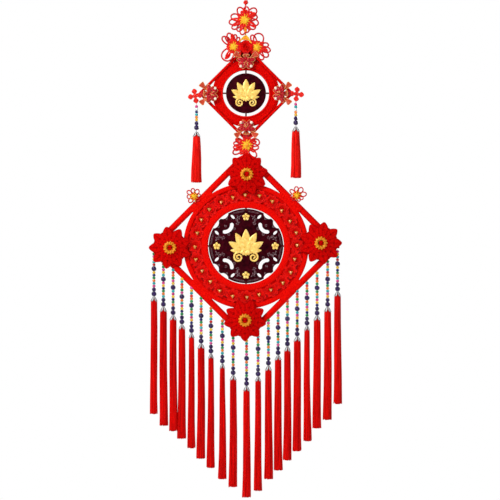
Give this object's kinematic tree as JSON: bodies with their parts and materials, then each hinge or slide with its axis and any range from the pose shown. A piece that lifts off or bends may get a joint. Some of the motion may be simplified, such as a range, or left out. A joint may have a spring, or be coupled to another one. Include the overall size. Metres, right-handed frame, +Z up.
{
  "type": "chinese knot tassel wall hanging",
  "caption": "Red knotted wall hanging: cord rosettes, a small and a large framed disc set on their corners, velvet flowers, and a row of bead strings with long tassels.",
  "frame": {"origin": "where a nail or hook bears, at the inside of the top of the hanging loop", "axes": "+X to the right as seen from the front, +Z up, and +Y towards the wall, so the front faces -Y"},
  "size_m": [0.4639, 0.0367, 1.2507],
  "materials": {
    "satin_cord": "red satin knotting cord and satin petals",
    "gold_thread": "metallic gold thread wound in stars and coils",
    "flocked_red": "moulded plastic under short red flock",
    "velvet_red": "red velvet petals",
    "ribbon_red": "red satin ribbon, rolled into roses",
    "lacquer": "very dark red-brown lacquer",
    "gold_relief": "pale gold raised ornament",
    "tassel": "red rayon tassel, with a string of small glossy beads and a metal cap"
  },
  "bodies": {
    "root": {"hanging_loop": "satin_cord", "rosette_top": "satin_cord", "rosette_pair": "satin_cord", "rosette_middle": "satin_cord", "star_top": "gold_thread", "star_left": "gold_thread", "star_right": "gold_thread", "star_middle": "gold_thread", "gold_link": "gold_thread", "top_rose": "ribbon_red", "small_frame": "flocked_red", "small_disc": "lacquer", "small_ornament": "gold_relief", "applique_top": "satin_cord", "applique_left": "satin_cord", "applique_right": "satin_cord", "applique_bottom": "satin_cord", "clover_knot_left": "satin_cord", "clover_knot_right": "satin_cord", "side_tassel_left": "tassel", "side_tassel_right": "tassel", "large_ring": "flocked_red", "tube_upper_right": "flocked_red", "tube_lower_right": "flocked_red", "tube_lower_left": "flocked_red", "tube_upper_left": "flocked_red", "rose_band": "ribbon_red", "large_disc": "lacquer", "large_ornament": "gold_relief", "flower_top": "velvet_red", "coil_top": "gold_thread", "flower_left": "velvet_red", "coil_left": "gold_thread", "flower_right": "velvet_red", "coil_right": "gold_thread", "flower_bottom": "velvet_red", "coil_bottom": "gold_thread", "mini_rosette_left": "satin_cord", "mini_rosette_right": "satin_cord", "tassel_01": "tassel", "tassel_02": "tassel", "tassel_03": "tassel", "tassel_04": "tassel", "tassel_05": "tassel", "tassel_06": "tassel", "tassel_07": "tassel", "tassel_08": "tassel", "tassel_09": "tassel", "tassel_10": "tassel", "tassel_11": "tassel", "tassel_12": "tassel", "tassel_13": "tassel", "tassel_14": "tassel", "tassel_15": "tassel", "tassel_16": "tassel", "tassel_17": "tassel", "tassel_18": "tassel", "tassel_19": "tassel"}
  },
  "joints": []
}
